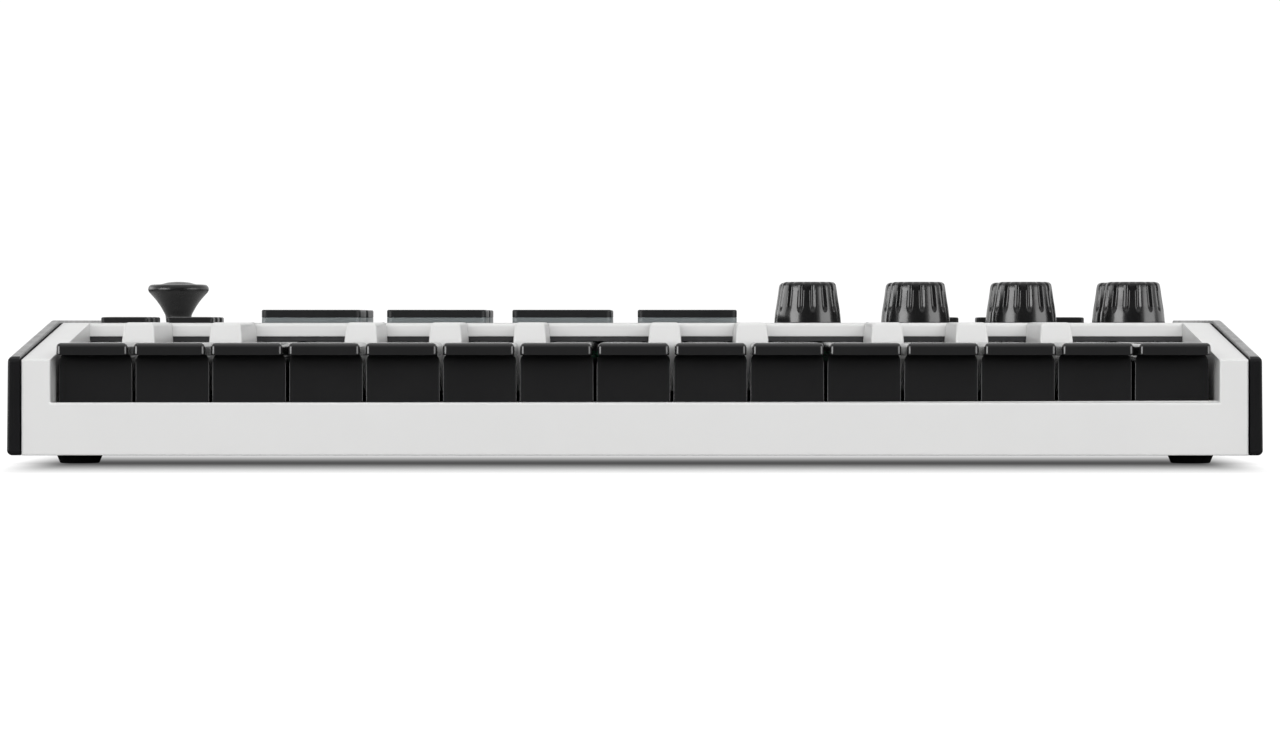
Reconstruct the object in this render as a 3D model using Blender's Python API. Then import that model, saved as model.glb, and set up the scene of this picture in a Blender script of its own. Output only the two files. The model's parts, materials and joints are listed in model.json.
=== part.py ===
"""A 25-key USB keyboard controller with mini keys, pads, endless knobs, a thumbstick and rubber buttons.

Lengths in this file are millimetres: x runs from left to right seen from the front, y is the depth behind
the front of the side cheeks, and z is the height above the table.  finish() turns them into metres and puts
the origin on the table under the middle of the case.
"""
import math

import bmesh
import bpy

MILLIMETRE = 0.001

# Overall size
WIDTH = 318.0
DEPTH = 181.0
UNDERSIDE = 2.3                 # height of the case's underside, which the feet lift off the table
GAP = 0.3                       # clearance between pieces that rest on each other
CLEAR = 1.0                     # how far a cutter reaches past what it cuts
BELOW = 0.0
ABOVE = 50.0                    # heights under and over every solid that is cut

# White case
CASE_HALF = 155.45
CASE_FRONT = 0.5
CASE_REAR = 180.5
WALL = 2.2
PANEL_TOP = 35.84
PANEL_FRONT = 85.0              # where the sloping rails end and the flat panel starts
RAIL_FRONT_TOP = 26.55
BAR_TOP = 15.7                  # top of the low bar in front of the keys
PANEL_LIP = 32.2                # lower edge of the panel's front wall
KEYBED_HALF = 148.05            # inner faces of the two rails
RAIL_WALL = 2.05
PLATE_THICK = 2.0

# Black side cheeks
CHEEK_INNER = CASE_HALF + GAP
CHEEK_FRONT_TOP = 27.3
CHEEK_TOP = 36.55
CHEEK_SLOPE_END = 82.5
CHEEK_DRAFT = 0.0187            # the outer face leans inwards by this much for each millimetre of height
CHEEK_EDGE = 1.0

# Feet and screws
FOOT_X = 142.0
FOOT_DEPTHS = (15.0, 166.0)
FOOT_RADII = (5.05, 5.7)        # at the table, at the case
FRONT_BOSSES = [(x, 6.6) for x in (-120.0, 0.0, 120.0)]
REAR_BOSSES = [(-149.0, 158.0), (0.0, 171.0), (149.0, 158.0)]
FRONT_BOSS_TOP = 13.0
FRONT_PILOT_TOP = 11.0
REAR_PILOT_TOP = 30.0
BOSS_RADIUS = 3.0
PILOT_RADIUS = 1.25
SCREW_HOLE = 1.6
HEAD_HOLE = 2.8
HEAD_DEPTH = 0.9

# Keys
PITCH = 19.63
KEY_WIDTH = 18.6                # a natural key's width at its lower edge
KEY_TOP_WIDTH = 18.1
NATURAL_TOP = 30.8
LIP_FRONT = 2.0
LIP_THICK = 3.1
FACE_FRONT = 10.5               # the key's lower front face stands back under the lip
KEY_BOTTOM = 12.5
KEY_REAR = 84.3
KEY_WALL = 1.2
KEY_CEILING = 1.4               # thickness of a natural's top
SLOPE_FRONT = 40.0              # where a natural's lower edge starts to rise
SLOPE_REAR_BOTTOM = 19.0
SHOULDER = 0.5                  # how far the body is let in on each side, right under the lip
SHARP_TOP = 36.0
SHARP_FRONT = 37.0
SHARP_WIDTH = 8.6
SHARP_TOP_WIDTH = 7.6
SHARP_CLEARANCE = 0.9
SHARP_BOTTOM = 18.5
ARM_TOP = 24.5
ARM_BOTTOM = 17.0
NATURAL_ARM = 6.6
SHARP_ARM = 5.2
PIVOT_DEPTH = 150.0
PIVOT_HEIGHT = 20.0
PIVOT_RADIUS = 2.5
HOOK_BORE = 2.9
HOOK_RADIUS = 4.6
NATURALS = ["c1", "d1", "e1", "f1", "g1", "a1", "b1", "c2", "d2", "e2", "f2", "g2", "a2", "b2", "c3"]
SHARP_OFFSETS = {"c": -2.1, "d": 1.0, "f": -2.9, "g": -0.5, "a": 1.9}   # from the joint of its naturals

# Key chassis
CHASSIS_BOTTOM = 4.9
CHASSIS_TOP = 6.4
CHASSIS_FRONT = 12.0
CHASSIS_REAR = 154.0

# Main board
BOARD_BOTTOM = 26.5
BOARD_TOP = 28.1
BOARD_HALF = 145.5
BOARD_DEPTHS = (92.0, 176.0)

# Pads
PAD_SIDE = 27.2
PAD_PITCH = 34.4
PAD_FIRST_X = -89.2
PAD_FIRST_DEPTH = 113.6
PAD_TOP = 39.45
PAD_BOTTOM = 30.2
PAD_PLUNGER = 21.2
PAD_FLANGE = 29.6
PAD_HOLE_RADIUS = 1.6

# Buttons
BUTTON_SIZE = (12.9, 7.5)
BUTTON_FLANGE = (15.0, 9.4)
BUTTON_PLUNGER = (8.9, 4.5)
BUTTON_TOP = 37.5
BUTTON_BOTTOM = 30.4
FLANGE_BOTTOM = 31.5
FLANGE_TOP = 33.3
LEFT_BUTTON_XS = (-140.4, -122.5)
LEFT_BUTTON_DEPTHS = (103.75, 116.9, 130.0)
RIGHT_BUTTON_XS = (86.1, 104.1, 122.2, 140.2)
RIGHT_BUTTON_DEPTH = 168.75
LEFT_BUTTONS = ["octave_down", "octave_up", "full_level", "note_repeat", "arpeggiator", "tap_tempo"]
RIGHT_BUTTONS = ["bank", "control_change", "program_change", "program_select"]

# Knobs
KNOB_XS = (47.7, 77.8, 107.3, 137.3)
KNOB_DEPTHS = (137.4, 113.0)
KNOB_BOTTOM = 35.84
KNOB_RADIUS = 8.86
KNOB_TOP = 47.2
KNOB_FLUTES = 15
RECESS_RADIUS = 9.5             # the shallow round recess that a knob dips into
RECESS_DROP = 0.4
SHAFT_RADIUS = 3.0
SHAFT_BOTTOM = 33.7
PANEL_HOLE = 4.0
ENCODER_SIDE = 11.0
ENCODER_TOP = 33.4

# Thumbstick
STICK_X = -130.52
STICK_DEPTH = 150.0
STICK_PIVOT = 30.5
BALL_RADIUS = 6.5
STICK_HOLE = 6.4
DISH_RADIUS = 13.0
DISH_DROP = 1.2
GIMBAL_RADII = (7.1, 8.2)
GIMBAL_HALF = 0.8
GIMBAL_PIN_END = 9.4
BEARING_INNER = 9.8
BOARD_STICK_HOLE = 9.7

# Display, sockets and lock slot
DISPLAY_X = 57.0
DISPLAY_DEPTH = 166.0
DISPLAY_OPENING = (33.0, 17.0)
DISPLAY_GLASS = (32.0, 16.0)
DISPLAY_TOP = 35.6
USB_X = -95.0
USB_SIZE = (12.0, 11.4)
USB_WALL = 0.8
USB_BOTTOM = 15.4
USB_FRONT = 164.0
SOCKET_REAR = 180.2
JACK_X = -60.0
JACK_HEIGHT = 20.5
JACK_BORE = 3.25
JACK_FERRULE = 4.6
JACK_DEPTHS = (157.5, 178.0)
LOCK_X = 140.0
LOCK_SLOT = (7.0, 3.0)


# ---------------------------------------------------------------- outlines

def rectangle(x, y, width, depth):
    """Corners of a rectangle with its centre at x, y."""
    return [(x + sx * width / 2, y + sy * depth / 2) for sx, sy in ((-1, -1), (1, -1), (1, 1), (-1, 1))]


def rounded(x, y, width, depth, radius, steps=2):
    """A rectangle with its centre at x, y and arcs of the given radius in its corners."""
    points = []
    for corner, (sx, sy) in enumerate(((1, 1), (-1, 1), (-1, -1), (1, -1))):
        for step in range(steps + 1):
            angle = math.radians(90 * corner + 90 * step / steps)
            points.append((x + sx * (width / 2 - radius) + radius * math.cos(angle),
                           y + sy * (depth / 2 - radius) + radius * math.sin(angle)))
    return points


def circle(x, y, radius, steps=16):
    """Points around a circle."""
    angles = [2 * math.pi * step / steps for step in range(steps)]
    return [(x + radius * math.cos(angle), y + radius * math.sin(angle)) for angle in angles]


def at_height(outline, z):
    """A level outline as points in space."""
    return [(x, y, z) for x, y in outline]


# ---------------------------------------------------------------- solids

def loft(sections):
    """A closed solid through outlines that have the same number of points, capped at both ends."""
    shape = bmesh.new()
    rings = [[shape.verts.new(point) for point in section] for section in sections]
    for ring, following in zip(rings, rings[1:]):
        for index in range(len(ring)):
            other = (index + 1) % len(ring)
            shape.faces.new((ring[index], ring[other], following[other], following[index]))
    shape.faces.new(rings[0])
    shape.faces.new(rings[-1])
    bmesh.ops.recalc_face_normals(shape, faces=shape.faces)
    mesh = bpy.data.meshes.new("solid")
    shape.to_mesh(mesh)
    shape.free()
    solid = bpy.data.objects.new("solid", mesh)
    bpy.context.scene.collection.objects.link(solid)
    return solid


def prism(outline, low, high, axis="z"):
    """An outline swept straight from low to high along one axis.

    The outline's points are (x, y) for the z axis, (y, z) for the x axis and (x, z) for the y axis.
    """
    places = {
        "x": lambda a, b, along: (along, a, b),
        "y": lambda a, b, along: (a, along, b),
        "z": lambda a, b, along: (a, b, along),
    }
    place = places[axis]
    return loft([[place(a, b, along) for a, b in outline] for along in (low, high)])


def box(x_range, y_range, z_range):
    """A block between two corners."""
    width = x_range[1] - x_range[0]
    depth = y_range[1] - y_range[0]
    return prism(rectangle(sum(x_range) / 2, sum(y_range) / 2, width, depth), *z_range)


def turned(profile, x, y, steps=20):
    """A solid of revolution about an upright axis; the profile runs upwards as (radius, height) pairs."""
    return loft([at_height(circle(x, y, radius, steps), z) for radius, z in profile])


def combine(base, tools, operation):
    """Joins or cuts a solid with other solids, which are used up."""
    for tool in tools:
        modifier = base.modifiers.new("boolean", "BOOLEAN")
        modifier.operation = operation
        modifier.solver = "EXACT"
        modifier.object = tool
    depsgraph = bpy.context.evaluated_depsgraph_get()
    result = bpy.data.meshes.new_from_object(base.evaluated_get(depsgraph))
    base.modifiers.clear()
    base.data = result
    for tool in tools:
        bpy.data.objects.remove(tool)
    return base


def join(base, *tools):
    return combine(base, tools, "UNION")


def cut(base, *tools):
    return combine(base, tools, "DIFFERENCE")


def finish(solid, name, material, pivot=(0.0, DEPTH / 2, 0.0), smooth=False):
    """Names a solid, turns it into metres with its own origin on the pivot, and puts it in its place."""
    for vertex in solid.data.vertices:
        vertex.co = [(value - centre) * MILLIMETRE for value, centre in zip(vertex.co, pivot)]
    solid.location = (pivot[0] * MILLIMETRE, (pivot[1] - DEPTH / 2) * MILLIMETRE, pivot[2] * MILLIMETRE)
    solid.name = name
    solid.data.name = name
    solid.data.materials.clear()
    solid.data.materials.append(material)
    if smooth:
        solid.data.shade_smooth()
        solid.data.set_sharp_from_angle(angle=math.radians(35))
    return solid


def material(name, colour, roughness, metallic=0.0):
    """A plain Principled material."""
    made = bpy.data.materials.new(name)
    made.use_nodes = True
    shader = made.node_tree.nodes["Principled BSDF"]
    shader.inputs["Base Color"].default_value = (*colour, 1.0)
    shader.inputs["Roughness"].default_value = roughness
    shader.inputs["Metallic"].default_value = metallic
    return made


# ---------------------------------------------------------------- layout

def natural_centres():
    """Where each natural key's centre is, by key name."""
    middle = (len(NATURALS) - 1) / 2
    return {name: (index - middle) * PITCH for index, name in enumerate(NATURALS)}


def sharp_centres():
    """Where each sharp key's centre is, by key name, such as cs1 for the first C sharp."""
    centres = natural_centres()
    found = {}
    for name in NATURALS[:-1]:
        letter, octave = name
        if letter in SHARP_OFFSETS:
            found[letter + "s" + octave] = centres[name] + PITCH / 2 + SHARP_OFFSETS[letter]
    return found


def neck_range(name):
    """The left and right side of a natural key's narrow part, which passes between the sharps."""
    centre = natural_centres()[name]
    reach = SHARP_WIDTH / 2 + SHARP_CLEARANCE
    left = centre - KEY_WIDTH / 2
    right = centre + KEY_WIDTH / 2
    for sharp in sharp_centres().values():
        if abs(sharp - left) < reach:
            left = sharp + reach
        if abs(sharp - right) < reach:
            right = sharp - reach
    return left, right


def pad_places():
    """Centres of the pads: the front row from left to right, then the rear row."""
    return [(PAD_FIRST_X + column * PAD_PITCH, PAD_FIRST_DEPTH + row * PAD_PITCH)
            for row in range(2) for column in range(4)]


def button_places():
    """Centre of each button, by name."""
    left = [(x, depth) for depth in LEFT_BUTTON_DEPTHS for x in LEFT_BUTTON_XS]
    right = [(x, RIGHT_BUTTON_DEPTH) for x in RIGHT_BUTTON_XS]
    return dict(zip(LEFT_BUTTONS + RIGHT_BUTTONS, left + right))


def knob_places():
    """Centres of the knobs: the rear row from left to right, then the front row."""
    return [(x, depth) for depth in KNOB_DEPTHS for x in KNOB_XS]


# ---------------------------------------------------------------- case

def case_hollows():
    """What is taken out of the case's block to leave its walls, rails and front bar."""
    inner_half = CASE_HALF - WALL
    inner_front = CASE_FRONT + WALL
    inner_rear = CASE_REAR - WALL
    behind = PANEL_FRONT + WALL + CLEAR
    ceiling = PANEL_TOP - WALL - 0.1
    keybed = [(-CLEAR, BAR_TOP), (inner_front, BAR_TOP), (inner_front, BELOW), (behind, BELOW),
              (behind, PANEL_LIP), (PANEL_FRONT, PANEL_LIP), (PANEL_FRONT, ABOVE), (-CLEAR, ABOVE)]
    rail = [(inner_front, BELOW), (inner_front, RAIL_FRONT_TOP - WALL), (PANEL_FRONT, ceiling),
            (behind + CLEAR, ceiling), (behind + CLEAR, BELOW)]
    rail_inner = KEYBED_HALF + RAIL_WALL
    return [
        prism(keybed, -KEYBED_HALF, KEYBED_HALF, "x"),
        box((-inner_half, inner_half), (PANEL_FRONT + WALL, inner_rear), (BELOW, PANEL_TOP - WALL)),
        prism(rail, rail_inner, inner_half, "x"),
        prism(rail, -inner_half, -rail_inner, "x"),
        box((-inner_half, inner_half), (inner_front, inner_rear), (BELOW, UNDERSIDE + PLATE_THICK + GAP)),
    ]


def panel_openings():
    """Cutters for the openings in the top panel."""
    low, high = PANEL_TOP - 2 * WALL, PANEL_TOP + CLEAR
    pad_side = PAD_SIDE + 2 * GAP
    cutters = [prism(rounded(x, y, pad_side, pad_side, PAD_HOLE_RADIUS), low, high) for x, y in pad_places()]
    width, depth = BUTTON_SIZE
    for x, y in button_places().values():
        cutters.append(prism(rounded(x, y, width + 0.4, depth + 0.5, 1.1), low, high))
    recess = PANEL_TOP - RECESS_DROP
    for x, y in knob_places():
        steps = [(PANEL_HOLE, low), (PANEL_HOLE, recess), (RECESS_RADIUS, recess), (RECESS_RADIUS, high)]
        cutters.append(turned(steps, x, y))
    cutters.append(prism(rectangle(DISPLAY_X, DISPLAY_DEPTH, *DISPLAY_OPENING), low, high))
    slope = DISH_DROP / (DISH_RADIUS - STICK_HOLE)
    rim = (DISH_RADIUS + CLEAR, PANEL_TOP + slope * CLEAR)
    dish = [(STICK_HOLE, low), (STICK_HOLE, PANEL_TOP - DISH_DROP), rim]
    cutters.append(turned(dish, STICK_X, STICK_DEPTH, 24))
    return cutters


def rear_openings():
    """Cutters for the sockets and the lock slot in the rear wall."""
    reach = (CASE_REAR - 2 * WALL, CASE_REAR + CLEAR)
    usb_width, usb_height = USB_SIZE
    usb = rectangle(USB_X, USB_BOTTOM + usb_height / 2, usb_width + 0.7, usb_height + 0.7)
    return [
        prism(usb, *reach, "y"),
        prism(circle(JACK_X, JACK_HEIGHT, JACK_FERRULE + 0.4), *reach, "y"),
        prism(rounded(LOCK_X, JACK_HEIGHT, *LOCK_SLOT, 1.2), *reach, "y"),
    ]


def bosses():
    """Screw bosses: short ones with a rib behind the front bar, tall ones under the panel."""
    foot = UNDERSIDE + PLATE_THICK + GAP
    made = []
    for x, y in FRONT_BOSSES:
        made.append(prism(circle(x, y, BOSS_RADIUS), foot, FRONT_BOSS_TOP))
        made.append(box((x - 0.8, x + 0.8), (CASE_FRONT + WALL - GAP, y), (foot, FRONT_BOSS_TOP - 0.4)))
    for x, y in REAR_BOSSES:
        made.append(prism(circle(x, y, BOSS_RADIUS), foot, PANEL_TOP - WALL + GAP))
    return made


def top_case(plastic):
    outline = [(CASE_FRONT, UNDERSIDE), (CASE_FRONT, RAIL_FRONT_TOP), (PANEL_FRONT, PANEL_TOP),
               (CASE_REAR, PANEL_TOP), (CASE_REAR, UNDERSIDE)]
    shell = prism(outline, -CASE_HALF, CASE_HALF, "x")
    cut(shell, *case_hollows())
    cut(shell, *panel_openings(), *rear_openings())
    join(shell, *bosses())
    pilots = [prism(circle(x, y, PILOT_RADIUS, 12), BELOW, FRONT_PILOT_TOP) for x, y in FRONT_BOSSES]
    pilots += [prism(circle(x, y, PILOT_RADIUS, 12), BELOW, REAR_PILOT_TOP) for x, y in REAR_BOSSES]
    cut(shell, *pilots)
    return finish(shell, "top_case", plastic)


def bottom_case(plastic):
    """The base plate, with its four feet and its sunk screw holes."""
    half = CASE_HALF - WALL - GAP
    front, rear = CASE_FRONT + WALL + GAP, CASE_REAR - WALL - GAP
    top = UNDERSIDE + PLATE_THICK
    plate = prism(rounded(0, (front + rear) / 2, 2 * half, rear - front, 1.5), UNDERSIDE, top)
    low_radius, high_radius = FOOT_RADII
    foot_profile = [(low_radius - 0.5, 0), (low_radius, 0.5), (high_radius, UNDERSIDE),
                    (high_radius, top - 0.5)]
    feet = [turned(foot_profile, side * FOOT_X, y) for side in (-1, 1) for y in FOOT_DEPTHS]
    join(plate, *feet)
    holes = []
    for x, y in FRONT_BOSSES + REAR_BOSSES:
        holes.append(prism(circle(x, y, SCREW_HOLE, 12), BELOW, top + CLEAR))
        holes.append(prism(circle(x, y, HEAD_HOLE), BELOW, UNDERSIDE + HEAD_DEPTH))
    cut(plate, *holes)
    return finish(plate, "bottom_case", plastic)


def cheek(name, side, plastic):
    """One of the black side cheeks; side is -1 for the left and 1 for the right."""
    def outline(inset):
        return [(inset, UNDERSIDE + inset), (inset, CHEEK_FRONT_TOP - inset / 2),
                (CHEEK_SLOPE_END, CHEEK_TOP - inset), (DEPTH - inset, CHEEK_TOP - inset),
                (DEPTH - inset, UNDERSIDE + inset)]

    def outer(z):
        return WIDTH / 2 - CHEEK_DRAFT * (z - UNDERSIDE)

    inner_face = [(side * CHEEK_INNER, y, z) for y, z in outline(0)]
    edge = [(side * (outer(z) - CHEEK_EDGE), y, z) for y, z in outline(0)]
    outer_face = [(side * outer(z - CHEEK_EDGE), y, z) for y, z in outline(CHEEK_EDGE)]
    for point in (0, 4):
        outer_face[point] = (side * WIDTH / 2, *outer_face[point][1:])
    return finish(loft([inner_face, edge, outer_face]), name, plastic)


# ---------------------------------------------------------------- keys

def arm_and_hook(x, width):
    """The arm that runs back under the panel, with the open hook that clips on the pivot bar."""
    low, high = x - width / 2, x + width / 2
    side = [(KEY_REAR - 1, 19.3), (90.0, ARM_BOTTOM), (PIVOT_DEPTH - 3, ARM_BOTTOM),
            (PIVOT_DEPTH - 3, ARM_TOP), (91.0, ARM_TOP), (87.0, 28.5), (KEY_REAR - 1, 28.5)]
    return [prism(side, low, high, "x"),
            prism(circle(PIVOT_DEPTH, PIVOT_HEIGHT, HOOK_RADIUS), low, high, "x")]


def hook_cutters(x, width):
    """The bore around the pivot bar and the slot that opens it to the rear."""
    low, high = x - width / 2 - CLEAR, x + width / 2 + CLEAR
    slot = rectangle(PIVOT_DEPTH + HOOK_RADIUS, PIVOT_HEIGHT, 2 * HOOK_RADIUS, 4)
    return [prism(circle(PIVOT_DEPTH, PIVOT_HEIGHT, HOOK_BORE), low, high, "x"),
            prism(slot, low, high, "x")]


def natural_half(z):
    """Half a natural key's width at a height: its sides lean in a little towards the top."""
    widening = (KEY_WIDTH - KEY_TOP_WIDTH) / 2
    return KEY_TOP_WIDTH / 2 + widening * (NATURAL_TOP - z) / (NATURAL_TOP - KEY_BOTTOM)


def shoulder_cutters(centre, lip_bottom):
    """Wedges that let the body in under both long edges of the lip, and fade out on its sides."""
    cutters = []
    for side in (-1, 1):
        start = natural_half(lip_bottom) - SHOULDER
        wedge = [(centre + side * start, lip_bottom), (centre + side * (start + 2.5), lip_bottom),
                 (centre + side * (start + 2 * SHOULDER), lip_bottom - 2)]
        cutters.append(prism(wedge, LIP_FRONT - CLEAR, KEY_REAR + CLEAR, "y"))
    return cutters


def natural_key(name, plastic):
    """A natural key: an overhanging lip in front, a hollow body, notches for the sharps, arm and hook."""
    centre = natural_centres()[name]
    left, right = centre - KEY_WIDTH / 2, centre + KEY_WIDTH / 2
    neck_left, neck_right = neck_range(name)
    arm_x = (neck_left + neck_right) / 2
    lip_bottom = NATURAL_TOP - LIP_THICK
    profile = [(LIP_FRONT, lip_bottom), (LIP_FRONT, NATURAL_TOP), (KEY_REAR, NATURAL_TOP),
               (KEY_REAR, SLOPE_REAR_BOTTOM), (SLOPE_FRONT, KEY_BOTTOM), (FACE_FRONT, KEY_BOTTOM),
               (FACE_FRONT, lip_bottom)]
    body = loft([[(centre + side * natural_half(z), y, z) for y, z in profile] for side in (-1, 1)])
    notch_front = SHARP_FRONT - SHARP_CLEARANCE
    hollow = (BELOW, NATURAL_TOP - KEY_CEILING)
    notch = (notch_front, KEY_REAR + CLEAR)
    cutters = shoulder_cutters(centre, lip_bottom) + [
        box((left + KEY_WALL, right - KEY_WALL), (FACE_FRONT + 1.5, notch_front - KEY_WALL), hollow),
        box((neck_left + KEY_WALL, neck_right - KEY_WALL), (notch_front - 5, KEY_REAR - 1.5), hollow),
    ]
    if neck_left > left:
        cutters.append(box((left - CLEAR, neck_left), notch, (BELOW, ABOVE)))
    if neck_right < right:
        cutters.append(box((neck_right, right + CLEAR), notch, (BELOW, ABOVE)))
    cut(body, *cutters)
    join(body, *arm_and_hook(arm_x, NATURAL_ARM))
    cut(body, *hook_cutters(arm_x, NATURAL_ARM))
    return finish(body, "key_" + name, plastic, (arm_x, PIVOT_DEPTH, PIVOT_HEIGHT))


def sharp_key(name, plastic):
    """A sharp key: a raised block with leaning sides, hollow below, on the same arm and hook."""
    x = sharp_centres()[name]
    levels = [(SHARP_BOTTOM, SHARP_WIDTH, 0.0), (31.0, SHARP_WIDTH, 0.0),
              (35.4, SHARP_TOP_WIDTH + 0.2, 1.7), (SHARP_TOP, SHARP_TOP_WIDTH - 0.8, 2.4)]
    sections = []
    for z, width, setback in levels:
        front = SHARP_FRONT + setback
        sections.append(at_height(rectangle(x, (front + KEY_REAR) / 2, width, KEY_REAR - front), z))
    body = loft(sections)
    hollow = SHARP_WIDTH / 2 - KEY_WALL
    cut(body, box((x - hollow, x + hollow), (SHARP_FRONT + 2.5, KEY_REAR - 1.5), (BELOW, SHARP_TOP - 2.5)))
    join(body, *arm_and_hook(x, SHARP_ARM))
    cut(body, *hook_cutters(x, SHARP_ARM))
    return finish(body, "key_" + name, plastic, (x, PIVOT_DEPTH, PIVOT_HEIGHT))


def key_chassis(plastic):
    """The frame under the keys: a plate with windows, a guide blade per natural, and the pivot bar."""
    front_half, rear_half = KEYBED_HALF - 2.05, 149.0
    plate = box((-front_half, front_half), (CHASSIS_FRONT, 95), (CHASSIS_BOTTOM, CHASSIS_TOP))
    parts = [box((-rear_half, rear_half), (90, CHASSIS_REAR), (CHASSIS_BOTTOM, CHASSIS_TOP))]
    for x in natural_centres().values():
        parts.append(box((x - 3, x + 3), (18, 22), (CHASSIS_TOP - 0.5, PIVOT_HEIGHT)))
    post_top = PIVOT_HEIGHT + 1
    for name in ("e1", "b1", "e2", "b2"):
        x = natural_centres()[name] + PITCH / 2
        parts.append(box((x - 2, x + 2), (147.5, 152.5), (CHASSIS_TOP - 0.5, post_top)))
    for side in (-1, 1):
        low, high = sorted((side * 146, side * rear_half))
        parts.append(box((low, high), (147.5, 152.5), (CHASSIS_TOP - 0.5, post_top)))
    pivot_half = rear_half - 0.4
    parts.append(prism(circle(PIVOT_DEPTH, PIVOT_HEIGHT, PIVOT_RADIUS), -pivot_half, pivot_half, "x"))
    join(plate, *parts)
    windows = [box((x - 14, x + 14), depths, (BELOW, CHASSIS_TOP + CLEAR))
               for x in range(-120, 121, 40) for depths in ((40, 84), (98, 140))]
    cut(plate, *windows)
    return finish(plate, "key_chassis", plastic)


# ---------------------------------------------------------------- electronics

def main_board(laminate):
    """The circuit board under the panel, with its encoders, display module and USB socket."""
    half = BOARD_HALF
    board = box((-half, half), BOARD_DEPTHS, (BOARD_BOTTOM, BOARD_TOP))
    low = BOARD_TOP - GAP
    parts = [prism(rectangle(x, y, ENCODER_SIDE, ENCODER_SIDE), low, ENCODER_TOP) for x, y in knob_places()]
    glass_width, glass_depth = DISPLAY_GLASS
    module = rectangle(DISPLAY_X, DISPLAY_DEPTH, glass_width - 1, glass_depth - 1)
    glass = rectangle(DISPLAY_X, DISPLAY_DEPTH, glass_width, glass_depth)
    parts.append(loft([at_height(module, low), at_height(module, 34.0), at_height(glass, 34.0),
                       at_height(glass, DISPLAY_TOP)]))
    for side in (-1, 1):
        ends = sorted((STICK_X + side * BEARING_INNER, STICK_X + side * (BEARING_INNER + 2)))
        parts.append(box(ends, (STICK_DEPTH - 1.5, STICK_DEPTH + 1.5), (low, STICK_PIVOT + 1.2)))
    usb_width, usb_height = USB_SIZE
    usb_x = (USB_X - usb_width / 2, USB_X + usb_width / 2)
    parts.append(box(usb_x, (USB_FRONT, SOCKET_REAR), (USB_BOTTOM, BOARD_BOTTOM + GAP)))
    join(board, *parts)
    boss_x, boss_y = REAR_BOSSES[1]
    cut(board,
        prism(circle(boss_x, boss_y, BOSS_RADIUS + 0.7), BELOW, ABOVE),
        prism(circle(STICK_X, STICK_DEPTH, BOARD_STICK_HOLE, 24), BELOW, ABOVE),
        box((usb_x[0] + USB_WALL, usb_x[1] - USB_WALL), (USB_FRONT + 1.5, SOCKET_REAR + CLEAR),
            (USB_BOTTOM + USB_WALL, USB_BOTTOM + usb_height - USB_WALL)))
    return finish(board, "main_board", laminate)


def pedal_jack(plastic):
    """The sustain pedal's jack: a block under the board with a threaded nose and an open bore."""
    front, rear = JACK_DEPTHS
    body = box((JACK_X - 7, JACK_X + 7), (front, rear), (JACK_HEIGHT - 5.7, BOARD_BOTTOM - GAP))
    join(body, prism(circle(JACK_X, JACK_HEIGHT, JACK_FERRULE), rear - 1, SOCKET_REAR, "y"))
    cut(body, prism(circle(JACK_X, JACK_HEIGHT, JACK_BORE), front + 2, SOCKET_REAR + CLEAR, "y"))
    return finish(body, "pedal_jack", plastic)


# ---------------------------------------------------------------- controls

def stepped(x, y, steps):
    """A solid of rounded rectangles; each step is (height, width, depth, corner radius)."""
    return loft([at_height(rounded(x, y, width, depth, radius), z) for z, width, depth, radius in steps])


def pad(number, x, y, rubber):
    """A velocity pad: a square cap over a flange that the panel holds down, and a plunger below."""
    plunger, side = PAD_PLUNGER, PAD_SIDE
    steps = [(PAD_BOTTOM, plunger, plunger, 1.5), (FLANGE_BOTTOM, plunger, plunger, 1.5),
             (FLANGE_BOTTOM, PAD_FLANGE, PAD_FLANGE, 1.5), (FLANGE_TOP, PAD_FLANGE, PAD_FLANGE, 1.5),
             (FLANGE_TOP, side, side, 1.5), (PAD_TOP - 0.6, side, side, 1.5),
             (PAD_TOP, side - 1, side - 1, 1.2)]
    return finish(stepped(x, y, steps), f"pad_{number}", rubber, (x, y, PAD_TOP))


def button(name, x, y, rubber):
    """A rubber button with the same flange and plunger."""
    width, depth = BUTTON_SIZE
    wide, deep = BUTTON_FLANGE
    steps = [(BUTTON_BOTTOM, *BUTTON_PLUNGER, 1), (FLANGE_BOTTOM, *BUTTON_PLUNGER, 1),
             (FLANGE_BOTTOM, wide, deep, 1), (FLANGE_TOP, wide, deep, 1),
             (FLANGE_TOP, width, depth, 1), (BUTTON_TOP - 0.5, width, depth, 1),
             (BUTTON_TOP, width - 0.8, depth - 0.8, 0.8)]
    return finish(stepped(x, y, steps), "button_" + name, rubber, (x, y, BUTTON_TOP))


def fluted(x, y, z, radius, groove):
    """A round outline whose every second point lies in a groove."""
    steps = 2 * KNOB_FLUTES
    points = []
    for step in range(steps):
        angle = 2 * math.pi * step / steps
        reach = radius - groove * (step % 2)
        points.append((x + reach * math.cos(angle), y + reach * math.sin(angle), z))
    return points


def knob(number, x, y, plastic):
    """An endless knob: a tapering body, grooves over its upper three quarters, and a shaft."""
    levels = [(SHAFT_BOTTOM, SHAFT_RADIUS, 0), (KNOB_BOTTOM, SHAFT_RADIUS, 0), (KNOB_BOTTOM, KNOB_RADIUS, 0),
              (38.9, 8.7, 0), (41.0, 8.35, 0.8), (46.4, 7.55, 0.6), (KNOB_TOP, 6.7, 0.3)]
    sections = [fluted(x, y, z, radius, groove) for z, radius, groove in levels]
    return finish(loft(sections), f"knob_{number}", plastic, (x, y, KNOB_BOTTOM), smooth=True)


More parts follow.
